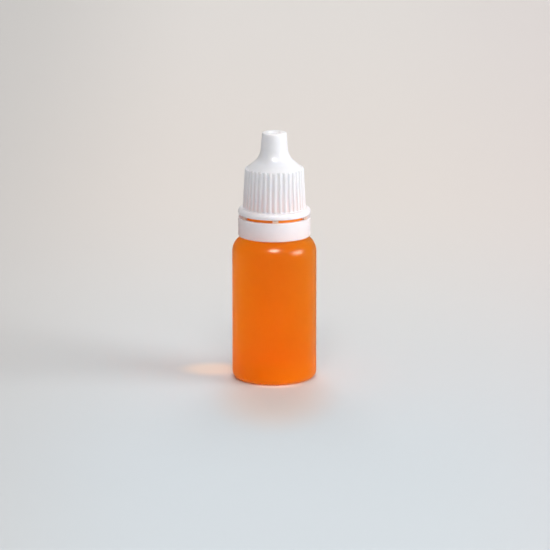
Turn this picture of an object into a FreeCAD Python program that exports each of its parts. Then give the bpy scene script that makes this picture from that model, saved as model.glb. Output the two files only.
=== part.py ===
"""Squeeze dropper bottle, 10 ml, with a tamper-evident screw cap. Millimetres.

The bottle stands on the XY plane with its axis on +Z. Every sub-part is a PartDesign body.
Its sketches are bound to the sheet "Sizes", which holds the driving dimensions.
"""
import FreeCAD, Part
import math
import os
import Sketcher

SIZES = {
    # Bottle body: a blown cylinder with a rounded shoulder and a pushed-up base
    "body_radius": 11.0,
    "wall": 0.9,
    "body_top": 33.8,
    "shoulder_radius": 4.5,
    "base_corner": 1.8,
    "base_inner_corner": 1.2,
    "foot_inner_radius": 7.6,
    "push_up": 0.9,
    "base_thickness": 1.1,
    # Neck: a wide foot with the retaining bead, then the threaded finish
    "neck_foot_radius": 7.3,
    "neck_foot_wall": 0.8,
    "bead_radius": 8.3,
    "bead_underside": 42.2,
    "bead_lip": 0.4,
    "bead_top": 43.7,
    "bead_slope": 0.7,
    "finish_base": 44.6,
    "neck_radius": 5.75,
    "bore_radius": 4.6,
    "bore_base": 45.2,
    "bore_taper": 2.2,
    "rim_level": 53.0,
    "rim_chamfer": 0.3,
    # Screw thread, shared by the neck and the cap
    "thread_pitch": 2.5,
    "thread_half_root": 0.5,
    "thread_half_crest": 0.25,
    "thread_bite": 0.15,
    "neck_thread_start": 46.3,
    "neck_thread_crest": 6.4,
    "neck_thread_rise": 4.0,
    "cap_thread_start": 47.55,
    "cap_thread_crest": 6.0,
    "cap_thread_rise": 3.9,
    # Dropper nozzle: a plug with two sealing beads, a flange on the rim and a drilled cone
    "flange_radius": 5.6,
    "flange_thickness": 1.0,
    "plug_radius": 4.5,
    "plug_bead_radius": 4.62,
    "plug_bead_half": 0.4,
    "plug_bead_high": 51.4,
    "plug_bead_low": 49.4,
    "plug_end": 47.0,
    "plug_lead": 0.6,
    "plug_lead_radius": 4.2,
    "plug_bore": 3.5,
    "plug_bore_top": 52.0,
    "cone_root_radius": 3.4,
    "cone_waist_radius": 2.9,
    "cone_waist": 57.0,
    "cone_bore_root": 2.5,
    "spout_radius": 2.0,
    "spout_base": 61.0,
    "spout_edge": 0.5,
    "nozzle_tip": 64.1,
    "orifice_radius": 0.45,
    "orifice_funnel": 1.1,
    "orifice_base": 61.2,
    "orifice_funnel_base": 60.5,
    # Liquid fill
    "fill_level": 51.5,
    # Cap: a slim tip flaring to a ribbed skirt on a rounded flange
    "cap_top": 65.4,
    "tip_radius": 3.2,
    "tip_edge": 0.3,
    "dimple_floor_radius": 1.2,
    "dimple_radius": 1.7,
    "dimple_depth": 0.4,
    "flare_start": 61.5,
    "flare_start_radius": 3.52,
    "flare_radius": 4.95,
    "flare_end_radius": 5.29,
    "shoulder_valley_radius": 7.3,
    "shoulder_valley_level": 56.02,
    "skirt_valley_radius": 7.85,
    "flange_level": 45.5,
    "cap_flange_radius": 9.45,
    "cap_flange_round": 0.95,
    "cap_flange_edge": 0.2,
    "cap_base": 43.9,
    "skirt_mouth_radius": 8.5,
    "skirt_bore": 6.6,
    "skirt_lead": 45.0,
    "skirt_bore_top": 55.17,
    "flare_inner_radius": 4.58,
    "flare_inner_level": 56.87,
    "tip_bore": 2.3,
    "tip_roof": 64.2,
    "pin_radius": 0.35,
    "pin_shoulder": 63.3,
    "pin_end": 63.1,
    # Cap ribs: rounded bars that lean with the skirt
    "rib_count": 36,
    "rib_radius": 0.45,
    "rib_axis_low": 7.8,
    "rib_axis_high": 7.25,
    "rib_low": 45.2,
    "rib_high": 56.2,
    "rib_chamfer": 0.4,
    "cap_clock": 1.8,
    # Tamper band, and the frangible bridges in the slit above it
    "band_base": 38.2,
    "band_top": 43.1,
    "band_radius": 9.45,
    "band_bore": 8.5,
    "band_edge": 0.15,
    "band_lead": 0.4,
    "snap_radius": 7.75,
    "snap_high": 42.0,
    "snap_low": 40.3,
    "snap_slope": 0.4,
    "snap_land": 0.9,
    "bridge_count": 6,
    "bridge_span": 9.5,
    "bridge_first": -88.2,
    "bridge_inner": 8.6,
    "bridge_outer": 9.25,
    "bridge_taper": 0.2,
}

UP = FreeCAD.Vector(0, 0, 1)

doc = FreeCAD.newDocument("DropperBottle")
sheet = doc.addObject("Spreadsheet::Sheet", "Sizes")
for row, (alias, number) in enumerate(SIZES.items(), start=1):
    sheet.set(f"A{row}", alias)
    sheet.set(f"B{row}", str(number))
    sheet.setAlias(f"B{row}", alias)
doc.recompute()


def value(total):
    """The number that a sum of aliases, such as "body_radius - wall", comes to."""
    result, sign = 0.0, 1
    for word in total.split():
        if word in ("+", "-"):
            sign = 1 if word == "+" else -1
        else:
            result += sign * (SIZES[word] if word in SIZES else float(word))
    return result


def bound(total):
    """The same sum as an expression on the sheet."""
    return " ".join(f"Sizes.{word}" if word in SIZES else word for word in total.split())


def new_body(name):
    """An empty body whose Label names its file."""
    body = doc.addObject("PartDesign::Body", name)
    body.Label = name
    return body


def new_sketch(body, name):
    """A sketch on the body's own XZ plane: sketch x is the radius, sketch y is the height."""
    plane = next(f for f in body.Origin.OriginFeatures if f.Role == "XZ_Plane")
    sketch = body.newObject("Sketcher::SketchObject", name)
    sketch.AttachmentSupport = [(plane, "")]
    sketch.MapMode = "FlatFace"
    return sketch


def pin_down(sketch, name, geometry, point, radius, height):
    """Bind a point's radius and height to the sheet. None leaves a coordinate to the solver."""
    for kind, axis, total in (("DistanceX", -2, radius), ("DistanceY", -1, height)):
        if total == "0":
            sketch.addConstraint(Sketcher.Constraint("PointOnObject", geometry, point, axis))
        elif total is not None:
            number = sketch.addConstraint(Sketcher.Constraint(kind, geometry, point, value(total)))
            label = f"{name}_{kind[-1].lower()}"
            sketch.renameConstraint(number, label)
            sketch.setExpression(f"Constraints.{label}", bound(total))


def arc_end(start, corner, centre, after):
    """Where an arc about centre ends, when one of its corner's coordinates is left open."""
    middle = [value(total) for total in centre]
    reach = math.dist(start, middle)
    open_side = corner.index(None)
    known = value(corner[1 - open_side])
    span = math.sqrt(max(reach**2 - (known - middle[1 - open_side]) ** 2, 0.0))
    choices = [middle[open_side] - span, middle[open_side] + span]
    nearest = min(choices, key=lambda choice: abs(choice - after[open_side]))
    return (nearest, known) if open_side == 0 else (known, nearest)


def arc_height(start, end, centre_radius):
    """The height of the centre, at a known radius, of an arc through two points."""
    spread = (end[0] - centre_radius) ** 2 - (start[0] - centre_radius) ** 2
    return (spread + end[1] ** 2 - start[1] ** 2) / (2 * (end[1] - start[1]))


def outline(sketch, corners):
    """Draw a closed section and bind it.

    Each corner is (radius, height), or (radius, height, centre) where an arc about the centre
    arrives. An arc leaves open one coordinate of its corner, or the height of its centre.
    """
    places = []
    for index, corner in enumerate(corners):
        if None in corner[:2]:
            following = corners[(index + 1) % len(corners)]
            after = [value(total or "0") for total in following[:2]]
            places.append(arc_end(places[-1], corner[:2], corner[2], after))
        else:
            places.append(tuple(value(total) for total in corner[:2]))
    ends = []
    for index, start in enumerate(places):
        target = (index + 1) % len(corners)
        end = places[target]
        first, last = FreeCAD.Vector(*start, 0), FreeCAD.Vector(*end, 0)
        if len(corners[target]) == 2:
            ends.append((sketch.addGeometry(Part.LineSegment(first, last)), 1, 2))
            continue
        centre_radius, centre_height = corners[target][2]
        x = value(centre_radius)
        y = arc_height(start, end, x) if centre_height is None else value(centre_height)
        angles = [math.atan2(place[1] - y, place[0] - x) for place in (start, end)]
        forward = (angles[1] - angles[0]) % (2 * math.pi) < math.pi
        if not forward:
            angles.reverse()
        circle = Part.Circle(FreeCAD.Vector(x, y, 0), UP, math.dist(start, (x, y)))
        edge = sketch.addGeometry(Part.ArcOfCircle(circle, *angles))
        ends.append((edge, 1, 2) if forward else (edge, 2, 1))
        pin_down(sketch, f"centre_{target}", edge, 3, centre_radius, centre_height)
    for index, corner in enumerate(corners):
        edge, first, _ = ends[index]
        before, _, last = ends[index - 1]
        sketch.addConstraint(Sketcher.Constraint("Coincident", before, last, edge, first))
        pin_down(sketch, f"corner_{index}", edge, first, *corner[:2])


def turned(body, name, corners, span=None):
    """Revolve a section about the bottle's axis, by a full turn or by an angle from the sheet."""
    sketch = new_sketch(body, f"{name}_section")
    outline(sketch, corners)
    feature = body.newObject("PartDesign::Revolution", name)
    feature.Profile = sketch
    feature.ReferenceAxis = (sketch, ["V_Axis"])
    feature.Angle = 360
    if span:
        feature.Midplane = True
        feature.setExpression("Angle", bound(span))
    return feature


def threaded(body, name, corners, rise):
    """Sweep a thread's section along a right-handed helix about the bottle's axis."""
    sketch = new_sketch(body, f"{name}_section")
    outline(sketch, corners)
    helix = body.newObject("PartDesign::AdditiveHelix", name)
    helix.Profile = sketch
    helix.ReferenceAxis = (sketch, ["V_Axis"])
    helix.Mode = "pitch-height-angle"
    helix.setExpression("Pitch", bound("thread_pitch"))
    helix.setExpression("Height", bound(rise))
    return helix


def thread_section(root, crest, level):
    """A thread's trapezium, from its root inside the wall to its crest."""
    return [
        (root, f"{level} - thread_half_root"),
        (crest, f"{level} - thread_half_crest"),
        (crest, f"{level} + thread_half_crest"),
        (root, f"{level} + thread_half_root"),
    ]


def cavity():
    """The corners of the bottle's inside, from the mouth of the bore down to the base."""
    shoulder = "body_radius - shoulder_radius"
    side = "body_radius - wall"
    floor = "base_thickness"
    inner_corner = f"{side} - base_inner_corner"
    return [
        ("bore_radius", "bore_base"),
        ("neck_foot_radius - neck_foot_wall", "bore_base - bore_taper"),
        (shoulder, "body_top + shoulder_radius - wall"),
        (None, "body_top", (shoulder, "body_top")),
        (side, f"{floor} + base_inner_corner"),
        (inner_corner, None, (inner_corner, f"{floor} + base_inner_corner")),
        ("foot_inner_radius", floor),
        ("0", f"{floor} + push_up", ("0", None)),
    ]


def make_bottle():
    """The squeeze bottle: one shell from the pushed-up base to the rim of the neck."""
    body = new_body("bottle")
    shoulder = ("body_radius - shoulder_radius", "body_top")
    foot_outer = "body_radius - base_corner"
    outside = [
        ("0", "push_up"),
        ("foot_inner_radius", "0", ("0", None)),
        (foot_outer, "0"),
        (None, "base_corner", (foot_outer, "base_corner")),
        ("body_radius", "body_top"),
        ("neck_foot_radius", None, shoulder),
        ("neck_foot_radius", "bead_underside"),
        ("bead_radius", "bead_underside + bead_lip"),
        ("bead_radius", "bead_top"),
        ("neck_foot_radius", "bead_top + bead_slope"),
        ("neck_radius", "finish_base"),
        ("neck_radius", "rim_level - rim_chamfer"),
        ("neck_radius - rim_chamfer", "rim_level"),
        ("bore_radius", "rim_level"),
    ]
    turned(body, "bottle_wall", outside + cavity())
    threaded(
        body,
        "neck_thread",
        thread_section("neck_radius - thread_bite", "neck_thread_crest", "neck_thread_start"),
        "neck_thread_rise",
    )
    return body


def make_nozzle():
    """The dropper insert: its plug is pressed into the bore and its flange sits on the rim."""
    body = new_body("nozzle")
    beads = []
    for level in ("plug_bead_high", "plug_bead_low"):
        beads += [
            ("plug_radius", f"{level} + plug_bead_half"),
            ("plug_bead_radius", level),
            ("plug_radius", f"{level} - plug_bead_half"),
        ]
    spout_edge = "spout_radius - spout_edge"
    corners = [
        ("orifice_radius", "nozzle_tip"),
        (spout_edge, "nozzle_tip"),
        (None, "nozzle_tip - spout_edge", (spout_edge, "nozzle_tip - spout_edge")),
        ("spout_radius", "spout_base"),
        ("cone_waist_radius", "cone_waist"),
        ("cone_root_radius", "rim_level + flange_thickness"),
        ("flange_radius", "rim_level + flange_thickness"),
        ("flange_radius", "rim_level"),
        ("plug_radius", "rim_level"),
        *beads,
        ("plug_radius", "plug_end + plug_lead"),
        ("plug_lead_radius", "plug_end"),
        ("plug_bore", "plug_end"),
        ("plug_bore", "plug_bore_top"),
        ("cone_bore_root", "rim_level + flange_thickness"),
        ("orifice_funnel", "orifice_funnel_base"),
        ("orifice_radius", "orifice_base"),
    ]
    turned(body, "nozzle_wall", corners)
    return body


def make_liquid():
    """The fill: it takes up the cavity, the bore below the plug and the inside of the plug."""
    body = new_body("liquid")
    neck = [
        ("0", "fill_level"),
        ("plug_bore", "fill_level"),
        ("plug_bore", "plug_end"),
        ("bore_radius", "plug_end"),
    ]
    turned(body, "fill", neck + cavity())
    return body


def add_ribs(body):
    """The grip ribs: one bar, turned about its own leaning axis, repeated round the skirt."""
    sketch = new_sketch(body, "rib_section")
    outline(
        sketch,
        [
            ("rib_axis_low", "rib_low"),
            ("rib_axis_low + rib_radius", "rib_low"),
            ("rib_axis_high + rib_radius", "rib_high - rib_chamfer"),
            ("rib_axis_high + rib_radius - rib_chamfer", "rib_high"),
            ("rib_axis_high", "rib_high"),
        ],
    )
    rib = body.newObject("PartDesign::Revolution", "rib")
    rib.Profile = sketch
    rib.ReferenceAxis = (sketch, ["Edge5"])
    rib.Angle = 360
    rib.FuseOrder = "FeatureFirst"
    pattern = body.newObject("PartDesign::PolarPattern", "ribs_round_skirt")
    pattern.Originals = [rib]
    pattern.Axis = (sketch, ["V_Axis"])
    pattern.Angle = 360
    pattern.setExpression("Occurrences", bound("rib_count"))
    body.Tip = pattern


def make_cap():
    """The screw cap: tip, concave flare, ribbed skirt, flange, inner thread and sealing pin."""
    body = new_body("cap")
    flare_centre = ("flare_start_radius + flare_radius", "flare_start")
    edge_radius = "cap_flange_radius - cap_flange_edge"
    edge_height = "cap_base + cap_flange_edge"
    round_radius = "cap_flange_radius - cap_flange_round"
    round_height = "flange_level - cap_flange_round"
    outside = [
        ("0", "cap_top - dimple_depth"),
        ("dimple_floor_radius", "cap_top - dimple_depth"),
        ("dimple_radius", "cap_top"),
        ("tip_radius - tip_edge", "cap_top"),
        (None, "cap_top - tip_edge", ("tip_radius - tip_edge", "cap_top - tip_edge")),
        ("flare_start_radius", "flare_start"),
        ("flare_end_radius", None, flare_centre),
        ("shoulder_valley_radius", "shoulder_valley_level"),
        ("skirt_valley_radius", "flange_level"),
        (round_radius, "flange_level"),
        (None, round_height, (round_radius, round_height)),
        ("cap_flange_radius", edge_height),
        (edge_radius, None, (edge_radius, edge_height)),
        ("skirt_mouth_radius", "cap_base"),
    ]
    inside = [
        ("skirt_bore", "skirt_lead"),
        ("skirt_bore", "skirt_bore_top"),
        ("flare_inner_radius", "flare_inner_level"),
        (None, "flare_start", flare_centre),
        ("tip_bore", "tip_roof"),
        ("pin_radius", "tip_roof"),
        ("pin_radius", "pin_shoulder"),
        ("0", "pin_end"),
    ]
    turned(body, "cap_wall_turned", outside + inside)
    threaded(
        body,
        "cap_thread",
        thread_section("skirt_bore + thread_bite", "cap_thread_crest", "cap_thread_start"),
        "cap_thread_rise",
    )
    add_ribs(body)
    body.Placement = FreeCAD.Placement(FreeCAD.Vector(), FreeCAD.Rotation(UP, 0))
    body.setExpression("Placement.Rotation.Angle", bound("cap_clock"))
    return body


def make_tamper_band():
    """The ring left on the neck: its inner snap bead sits under the bottle's retaining bead."""
    body = new_body("tamper_band")
    corners = [
        ("band_bore + band_lead", "band_base"),
        ("band_radius - band_edge", "band_base"),
        (None, "band_base + band_edge", ("band_radius - band_edge", "band_base + band_edge")),
        ("band_radius", "band_top - band_edge"),
        ("band_radius - band_edge", None, ("band_radius - band_edge", "band_top - band_edge")),
        ("band_bore", "band_top"),
        ("band_bore", "snap_high"),
        ("snap_radius", "snap_high - snap_slope"),
        ("snap_radius", "snap_high - snap_slope - snap_land"),
        ("band_bore", "snap_low"),
        ("band_bore", "band_base + band_lead"),
    ]
    turned(body, "band_ring", corners)
    return body


def make_bridge(index):
    """One frangible bridge: a short sector of the slit, narrower where it joins the band."""
    body = new_body(f"tamper_bridge_{index + 1}")
    corners = [
        ("bridge_inner + bridge_taper", "band_top"),
        ("bridge_outer", "band_top"),
        ("bridge_outer", "cap_base"),
        ("bridge_inner", "cap_base"),
    ]
    turned(body, f"bridge_sector_{index + 1}", corners, "bridge_span")
    body.Placement = FreeCAD.Placement(FreeCAD.Vector(), FreeCAD.Rotation(UP, index))
    step = f"{index} * 360 / Sizes.bridge_count"
    body.setExpression("Placement.Rotation.Angle", f"Sizes.bridge_first + {step}")
    return body


bodies = [make_bottle(), make_nozzle(), make_liquid(), make_cap(), make_tamper_band()]
bodies += [make_bridge(index) for index in range(SIZES["bridge_count"])]
doc.recompute()

failed = [item.Label for item in doc.Objects if {"Invalid", "Error"} & set(item.State)]
if failed:
    raise RuntimeError(f"these objects did not compute: {failed}")
for body in bodies:
    shape = body.Shape
    if shape.isNull() or not shape.isValid() or len(shape.Solids) != 1:
        raise RuntimeError(f"{body.Label} is not one valid solid")

os.makedirs("parts", exist_ok=True)
for body in bodies:
    body.Shape.exportStep(f"parts/{body.Label}.step")
    print(f"{body.Label}: {body.Shape.Volume:.1f} mm3")
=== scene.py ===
"""Looks of the squeeze dropper bottle: its materials, the studio sweep, the lights and the camera."""
import math

import bpy
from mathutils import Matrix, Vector


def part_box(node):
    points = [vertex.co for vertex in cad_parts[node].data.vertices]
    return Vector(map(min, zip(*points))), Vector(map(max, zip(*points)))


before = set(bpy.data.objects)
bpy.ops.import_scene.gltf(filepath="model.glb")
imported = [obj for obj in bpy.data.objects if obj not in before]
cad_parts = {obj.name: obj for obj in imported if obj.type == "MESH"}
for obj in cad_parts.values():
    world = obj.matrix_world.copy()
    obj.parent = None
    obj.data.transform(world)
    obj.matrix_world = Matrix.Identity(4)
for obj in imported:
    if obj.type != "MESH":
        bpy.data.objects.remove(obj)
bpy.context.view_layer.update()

MM = 0.001
_, BOTTLE_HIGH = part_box("bottle")
CAP_LOW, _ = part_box("cap")
BAND_LOW, BAND_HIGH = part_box("tamper_band")
BODY_RADIUS = BOTTLE_HIGH.x
BRIDGES = [f"tamper_bridge_{index}" for index in range(1, 7)]
# The cap's ribbed skirt: its span, and the radius over the ribs at each end
SKIRT_LOW = CAP_LOW.z + 1.6 * MM
SKIRT_HIGH = CAP_LOW.z + 11.9 * MM
SKIRT_LOW_RADIUS = 8.25 * MM
SKIRT_HIGH_RADIUS = 7.7 * MM
RIB_DEPTH = 0.4 * MM
# Ramps along the bottle's height: from the level where an effect is least to where it is full
NECK = (40 * MM, 42 * MM)
FOOT_LOWER_END = (40.5 * MM, 42 * MM)
FOOT_UPPER_END = (44.8 * MM, 43.8 * MM)
THICK_BASE = (12 * MM, 1 * MM)
# The painted contact shade on the edge that the bottle stands on
PAINTED_EDGE_SHADE = (0.9 * MM, 0.2 * MM)
LIT_BASE = (20 * MM, 2 * MM)


# ---------- small helpers for node trees ----------

class Nodes:
    """Builds one material's node tree: add() makes a node, and links any input given as a socket."""

    def __init__(self, name):
        self.material = bpy.data.materials.new(name)
        self.material.use_nodes = True
        self.tree = self.material.node_tree
        self.tree.nodes.clear()
        self.output = self.tree.nodes.new("ShaderNodeOutputMaterial")

    def add(self, kind, inputs=None, **settings):
        node = self.tree.nodes.new(kind)
        for key, setting in settings.items():
            setattr(node, key, setting)
        for key, given in (inputs or {}).items():
            self.feed(node.inputs[key], given)
        return node

    def feed(self, socket, given):
        """Link a socket, or set its value."""
        if isinstance(given, bpy.types.NodeSocket):
            self.tree.links.new(given, socket)
        else:
            socket.default_value = given

    def place(self):
        """Object coordinates, which are the row frame's metres on every CAD node."""
        return self.add("ShaderNodeTexCoord").outputs["Object"]

    def along(self, axis):
        """The place along one axis, "X", "Y" or "Z"."""
        return self.add("ShaderNodeSeparateXYZ", {0: self.place()}).outputs[axis]

    def vector_maths(self, operation, first, second):
        return self.add("ShaderNodeVectorMath", {0: first, 1: second}, operation=operation).outputs

    def length(self, vector):
        return self.add("ShaderNodeVectorMath", {0: vector}, operation="LENGTH").outputs["Value"]

    def radius(self):
        """The distance from the bottle's axis."""
        return self.length(self.vector_maths("MULTIPLY", self.place(), (1.0, 1.0, 0.0))[0])

    def maths(self, operation, *values):
        return self.add("ShaderNodeMath", dict(enumerate(values)), operation=operation).outputs[0]

    def remap(self, value, low, high, to_low=0.0, to_high=1.0, ease="SMOOTHSTEP"):
        inputs = {"Value": value, 1: low, 2: high, 3: to_low, 4: to_high}
        return self.add("ShaderNodeMapRange", inputs, interpolation_type=ease).outputs[0]

    def noise(self, scale, detail=3.0):
        inputs = {"Vector": self.place(), "Scale": scale, "Detail": detail}
        return self.add("ShaderNodeTexNoise", inputs).outputs[0]

    def blend(self, factor, first, second):
        """A colour mix. A mix node's factor and two colours are its sockets 0, 6 and 7."""
        mix = self.add("ShaderNodeMix", data_type="RGBA")
        for socket, given in zip((mix.inputs[0], mix.inputs[6], mix.inputs[7]), (factor, first, second)):
            self.feed(socket, given)
        return mix.outputs[2]

    def mix(self, factor, first, second):
        """A shader mix: factor 0 shows the first and 1 the second."""
        return self.add("ShaderNodeMixShader", {0: factor, 1: first, 2: second}).outputs[0]

    def bump(self, height, strength, distance):
        inputs = {"Height": height, "Strength": strength, "Distance": distance}
        return self.add("ShaderNodeBump", inputs).outputs[0]

    def show(self, shader, volume=None):
        self.tree.links.new(shader, self.output.inputs["Surface"])
        if volume:
            self.tree.links.new(volume, self.output.inputs["Volume"])
        return self.material


def dress(node_name, material):
    """Give a CAD node one material."""
    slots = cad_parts[node_name].data.materials
    slots.clear()
    slots.append(material)


# ---------- materials ----------
# The denoiser shows an edge where a roughness crosses about 0.275, so every range stays on one side.

# The colours of the painted orange glow on the white parts, which stands in for light from the orange neck
# and body
PAINTED_GLOW_ON_WHITE = (0.93, 0.66, 0.62, 1)
PAINTED_GLOW_ON_BRIDGE = (1.0, 0.70, 0.50, 1)


def white_plastic(name, painted_glow=None, thin=0.22, painted_glow_colour=PAINTED_GLOW_ON_WHITE):
    """Injection-moulded white plastic, where thin is the share of light that crosses it.

    The function given second, if any, says how far a painted glow warms it towards the glow colour given
    last. The glow stands in for the orange light from inside.
    """
    n = Nodes(name)
    cloud = n.noise(260.0, 2.0)
    white = n.blend(n.remap(cloud, 0.3, 0.7), (0.86, 0.86, 0.90, 1), (0.90, 0.90, 0.93, 1))
    grain = n.noise(5200.0, 2.0)
    solid = n.add("ShaderNodeBsdfPrincipled", {
        "Base Color": n.blend(painted_glow(n), white, painted_glow_colour) if painted_glow else white,
        "Roughness": n.remap(cloud, 0.2, 0.8, 0.21, 0.26),
        "Subsurface Weight": 0.5,
        "Subsurface Radius": (1.0, 0.9, 0.8),
        "Subsurface Scale": 2 * MM,
        "IOR": 1.49,
        "Specular IOR Level": 0.19,
        "Normal": n.bump(grain, 0.12, 0.02 * MM),
    })
    glow = n.add("ShaderNodeBsdfTranslucent", {"Color": (0.95, 0.92, 0.90, 1)})
    return n.show(n.mix(thin, solid.outputs[0], glow.outputs[0]))


def painted_rib_glow(n):
    """How much painted orange glow a point of the cap's skirt gets: most between the ribs, where the skirt
    is thin, and fading towards the top. It stands in for the light of the neck showing through.
    """
    z = n.along("Z")
    crest = n.remap(z, SKIRT_LOW, SKIRT_HIGH, SKIRT_LOW_RADIUS, SKIRT_HIGH_RADIUS, "LINEAR")
    valley = n.remap(n.maths("SUBTRACT", crest, n.radius()), 0.05 * MM, RIB_DEPTH)
    fade = n.remap(z, SKIRT_LOW + 0.9 * (SKIRT_HIGH - SKIRT_LOW), SKIRT_LOW)
    above_flange = n.remap(z, SKIRT_LOW, SKIRT_LOW + 0.5 * MM)
    strength = n.maths("MULTIPLY", n.maths("MULTIPLY", fade, above_flange), 0.5)
    return n.maths("MULTIPLY", strength, n.maths("ADD", n.maths("MULTIPLY", valley, 0.7), 0.3))


def painted_band_bounce(n):
    """The tamper band is warmer towards its lower edge, next to the body: painted orange light that is
    bounced from the body and glows through the band.
    """
    return n.remap(n.along("Z"), BAND_HIGH.z - 0.5 * MM, BAND_LOW.z, 0.0, 0.34)


def painted_bridge_glow(n):
    """Painted glow: the bridges are so thin that the orange light of the neck shows through all of them,
    painted strongest at their inner side.
    """
    return n.remap(n.radius(), BAND_HIGH.x, BAND_HIGH.x - 1 * MM, 0.8, 1.0)


def faces_outward(n):
    """1 on the bottle's outside and 0 on its inside, told by which side of the wall the face looks to.

    A level face above the base, such as the rim, counts as outside, with a little to spare.
    """
    geometry = n.add("ShaderNodeNewGeometry")
    drop = n.maths("MINIMUM", n.maths("SUBTRACT", n.along("Z"), BODY_RADIUS), 0.0)
    away = n.add("ShaderNodeCombineXYZ", {0: n.along("X"), 1: n.along("Y"), 2: drop}).outputs[0]
    facing = n.vector_maths("DOT_PRODUCT", geometry.outputs["Normal"], away)["Value"]
    side = n.maths("SUBTRACT", 0.5, geometry.outputs["Backfacing"])
    spare = -0.01 * MM
    return n.maths("GREATER_THAN", n.maths("MULTIPLY", facing, side), spare)


def milky_depth(n, cloud, normal):
    """What crosses the wall: half bent by its satin surface, half scattered in it."""
    bent = n.add("ShaderNodeBsdfRefraction", {
        "Color": (1.0, 0.97, 0.92, 1),
        "Roughness": n.remap(cloud, 0.2, 0.8, 0.30, 0.35),
        "IOR": 1.25,
        "Normal": normal,
    })
    milk = n.add("ShaderNodeBsdfTranslucent", {"Color": (1.0, 0.78, 0.36, 1), "Normal": normal})
    return n.mix(0.5, bent.outputs[0], milk.outputs[0])


def haze_stain_and_edge_shade(n, neck, normal):
    """The orange cloud in the wall, with painted contact shade that darkens the edge that the bottle
    stands on.
    """
    stain_and_edge_shade = n.blend(neck, (1.0, 0.24, 0.0, 1), (1.0, 0.30, 0.02, 1))
    # Painted contact shade: dark brown towards the edge that the bottle stands on
    stain_and_edge_shade = n.blend(n.remap(n.along("Z"), *PAINTED_EDGE_SHADE), stain_and_edge_shade, (0.55, 0.09, 0.0, 1))
    return n.add("ShaderNodeBsdfDiffuse", {"Color": stain_and_edge_shade, "Normal": normal}).outputs[0]


def piped_light(n):
    """The liquid pipes light to the neck's foot, which glows in the slit, and a little to the base.

    The trace that is left higher up the body is the light that scatters in the liquid.
    """
    z = n.along("Z")
    foot = n.maths("MULTIPLY", n.remap(z, *FOOT_LOWER_END), n.remap(z, *FOOT_UPPER_END))
    foot_glow = n.maths("MULTIPLY", foot, 0.14)
    body_glow = n.remap(z, *LIT_BASE, 0.02, 0.07)
    strength = n.maths("ADD", foot_glow, body_glow)
    return n.add("ShaderNodeEmission", {"Color": (1.0, 0.21, 0.0, 1), "Strength": strength}).outputs[0]


def wall_plastic():
    """Natural LDPE: satin outside, milky, and stained by the liquid. The wetted inside bends nothing."""
    n = Nodes("natural_ldpe")
    cloud = n.noise(180.0, 2.0)
    normal = n.bump(n.noise(2600.0), 0.12, 0.02 * MM)
    neck = n.remap(n.along("Z"), *NECK)
    thick = n.maths("MAXIMUM", n.remap(n.along("Z"), *THICK_BASE, 0.0, 0.42), neck)
    haze_share = n.remap(thick, 0.0, 1.0, 0.13, 0.8)
    body = n.mix(haze_share, milky_depth(n, cloud, normal), haze_stain_and_edge_shade(n, neck, normal))
    gloss = n.add("ShaderNodeBsdfGlossy", {
        "Color": (0.95, 0.90, 0.78, 1),
        "Roughness": n.remap(cloud, 0.2, 0.8, 0.18, 0.24),
        "Normal": normal,
    })
    fresnel = n.add("ShaderNodeFresnel", {"IOR": 1.2, "Normal": normal}).outputs[0]
    mirror = n.maths("MINIMUM", fresnel, 0.08)
    surface = n.mix(mirror, body, gloss.outputs[0])
    outside = n.add("ShaderNodeAddShader", {0: surface, 1: piped_light(n)}).outputs[0]
    wetted = n.add("ShaderNodeBsdfTransparent").outputs[0]
    return n.show(n.mix(faces_outward(n), wetted, outside))


def orange_liquid():
    """The fill. The wall around it bends the light, so it only colours what crosses it."""
    n = Nodes("orange_liquid")
    water = n.add("ShaderNodeBsdfPrincipled", {
        "Base Color": (1.0, 1.0, 1.0, 1),
        "Roughness": 0.0,
        "IOR": 1.0,
        "Transmission Weight": 1.0,
    })
    dye = n.add("ShaderNodeVolumeAbsorption", {"Color": (1.0, 0.875, 0.0, 1), "Density": 600.0})
    return n.show(water.outputs[0], dye.outputs[0])


def shrink_from_wall(node_name, gap):
    """Draw a filling a hair inside its cavity, so that the two surfaces don't cross where they meet."""
    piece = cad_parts[node_name]
    piece.modifiers.new("seams", "WELD").merge_threshold = 0.001 * MM
    shrink = piece.modifiers.new("gap", "DISPLACE")
    shrink.mid_level = 0.0
    shrink.strength = -gap


dress("cap", white_plastic("white_cap", painted_rib_glow))
dress("tamper_band", white_plastic("white_band", painted_band_bounce))
thin_bridge = white_plastic("thin_bridge", painted_bridge_glow, 0.4, PAINTED_GLOW_ON_BRIDGE)
for bridge in BRIDGES:
    dress(bridge, thin_bridge)
dress("bottle", wall_plastic())
dress("nozzle", white_plastic("nozzle_ldpe", thin=0.35))
dress("liquid", orange_liquid())
shrink_from_wall("liquid", 0.05 * MM)

# ---------- studio ----------

LIGHT_AIM = Vector((0, 0, 30 * MM))
AIR_COLOUR = (1.0, 0.985, 0.97, 1)
AIR_STRENGTH = 0.33
# The paper starts cool in front. Then come the table behind, the far backdrop, and painted shade at the
# left and the right, where the light falls off: the axis, the places in metres where each colour starts
# and is full, its full share, and the colour
FRONT_PAPER = (0.53, 0.57, 0.60, 1)
PAPER_AND_SHADE_RAMPS = [
    ("Y", -0.1, 0.24, 1.0, (0.64, 0.60, 0.57, 1)),
    ("Y", 0.24, 0.60, 1.0, (0.63, 0.605, 0.585, 1)),
    # Painted shade: darker towards the left and the right, where the light falls off
    ("X", -0.02, -0.11, 0.8, (0.49, 0.48, 0.47, 1)),
    ("X", 0.03, 0.11, 0.4, (0.58, 0.53, 0.53, 1)),
]
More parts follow.
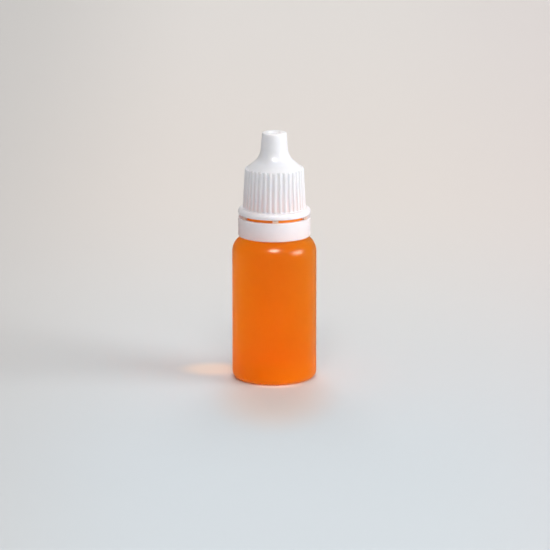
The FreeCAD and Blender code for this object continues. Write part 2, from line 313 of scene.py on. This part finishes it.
# Painted light and shade on the table, for the light that comes through the bottle: a warm painted shadow
# in front and painted pools of light. Each has an oval's centre, its reach along X and Y, the fraction of
# it that is its core, and its colour
PAINTED_POOLS = [
    # Painted warm shadow in front of the bottle
    ((0.0, -20 * MM), (19.5 * MM, 42 * MM), 0.3, (0.595, 0.525, 0.495, 1)),
    # Painted pools of light: at the left, under the base and just in front of it
    ((-16 * MM, 7.5 * MM), (11 * MM, 9 * MM), 0.3, (0.74, 0.675, 0.61, 1)),
    ((0.0, 0.0), (10.4 * MM, 10.4 * MM), 0.85, (0.92, 0.73, 0.62, 1)),
    ((0.5 * MM, -8.5 * MM), (8.5 * MM, 5.2 * MM), 0.4, (0.82, 0.67, 0.58, 1)),
]


def painted_pool(n, centre, reach, core):
    """An oval on the table, for the painted pools of light and the painted shadow: 1 over its core and 0
    at its edge.
    """
    offset = n.vector_maths("SUBTRACT", n.place(), (*centre, 0.0))[0]
    scaled = n.vector_maths("MULTIPLY", offset, (1 / reach[0], 1 / reach[1], 0.0))[0]
    return n.remap(n.length(scaled), 1.0, core)


def sweep_paper():
    """Matt paper that runs from cool in front to warm behind, with painted shade at the left and right,
    and the painted shadow and pools of light on it.
    """
    n = Nodes("sweep_paper")
    paper = FRONT_PAPER
    for axis, start, full, share, colour in PAPER_AND_SHADE_RAMPS:
        paper = n.blend(n.remap(n.along(axis), start, full, 0.0, share), paper, colour)
    for centre, reach, core, colour in PAINTED_POOLS:
        paper = n.blend(painted_pool(n, centre, reach, core), paper, colour)
    return n.show(n.add("ShaderNodeBsdfDiffuse", {"Color": paper}).outputs[0])


def studio_sweep():
    """A seamless table that curves up into the backdrop."""
    half_width, front, bend_start, bend_radius, top = 1.6, -1.2, 0.9, 0.7, 1.6
    arc = [math.radians(a) for a in range(0, 91, 5)]
    side = [(front, 0.0)]
    side += [(bend_start + bend_radius * math.sin(a), bend_radius * (1 - math.cos(a))) for a in arc]
    side.append((bend_start + bend_radius, top))
    verts = [(x, y, z) for y, z in side for x in (-half_width, half_width)]
    faces = [(2 * i, 2 * i + 1, 2 * i + 3, 2 * i + 2) for i in range(len(side) - 1)]
    mesh = bpy.data.meshes.new("studio_sweep")
    mesh.from_pydata(verts, [], faces)
    mesh.polygons.foreach_set("use_smooth", [True] * len(faces))
    mesh.materials.append(sweep_paper())
    sweep = bpy.data.objects.new("studio_sweep", mesh)
    bpy.context.scene.collection.objects.link(sweep)


def softbox(name, azimuth, elevation, distance, size, power):
    """A rectangular area light aimed at the object's middle: degrees, metres and watts.

    Azimuth 0 is in front, and 90 at the right.
    """
    a, e = math.radians(azimuth), math.radians(elevation)
    towards = Vector((math.sin(a) * math.cos(e), -math.cos(a) * math.cos(e), math.sin(e)))
    data = bpy.data.lights.new(name, "AREA")
    data.shape = "RECTANGLE"
    data.size, data.size_y = size
    data.energy = power
    light = bpy.data.objects.new(name, data)
    light.location = LIGHT_AIM + towards * distance
    light.rotation_euler = towards.to_track_quat("Z", "Y").to_euler()
    bpy.context.scene.collection.objects.link(light)
    return light


def glint(name, azimuth, elevation, distance, size, power):
    """A softbox that only shows as a highlight."""
    light = softbox(name, azimuth, elevation, distance, size, power)
    light.visible_diffuse = False
    light.visible_transmission = False
    light.visible_volume_scatter = False


studio_sweep()
softbox("front_softbox", 0, 50, 1.0, (0.40, 0.16), 4.4)
softbox("right_softbox", 71, 21, 1.6, (1.12, 0.72), 21.0)
softbox("left_softbox", -70, 20, 1.0, (0.5, 0.35), 0.1)
softbox("back_softbox", 180, 48, 1.3, (0.8, 0.6), 7.6)
glint("front_glint", 0, 50, 1.0, (0.32, 0.28), 27.0)
glint("right_glint", 71, 21, 1.0, (0.46, 0.32), 17.5)

world = bpy.data.worlds.new("studio_air")
world.use_nodes = True
air = world.node_tree.nodes["Background"]
air.inputs["Color"].default_value = AIR_COLOUR
air.inputs["Strength"].default_value = AIR_STRENGTH
bpy.context.scene.world = world
bpy.context.scene.view_settings.view_transform = "Standard"

# ---------- camera ----------

CAMERA_DISTANCE = 1.2
CAMERA_ELEVATION = math.radians(13.4)
CAMERA_AIM = Vector((0.17 * MM, 0, 27.3 * MM))
# Millimetres, as for a camera's own lens and sensor
LENS_LENGTH = 300.3
SENSOR_WIDTH = 36.0
camera_data = bpy.data.cameras.new("camera")
camera_data.lens = LENS_LENGTH
camera_data.sensor_width = SENSOR_WIDTH
camera = bpy.data.objects.new("camera", camera_data)
back = Vector((0, -math.cos(CAMERA_ELEVATION), math.sin(CAMERA_ELEVATION)))
camera.location = CAMERA_AIM + back * CAMERA_DISTANCE
camera.rotation_euler = back.to_track_quat("Z", "Y").to_euler()
bpy.context.scene.collection.objects.link(camera)
bpy.context.scene.camera = camera
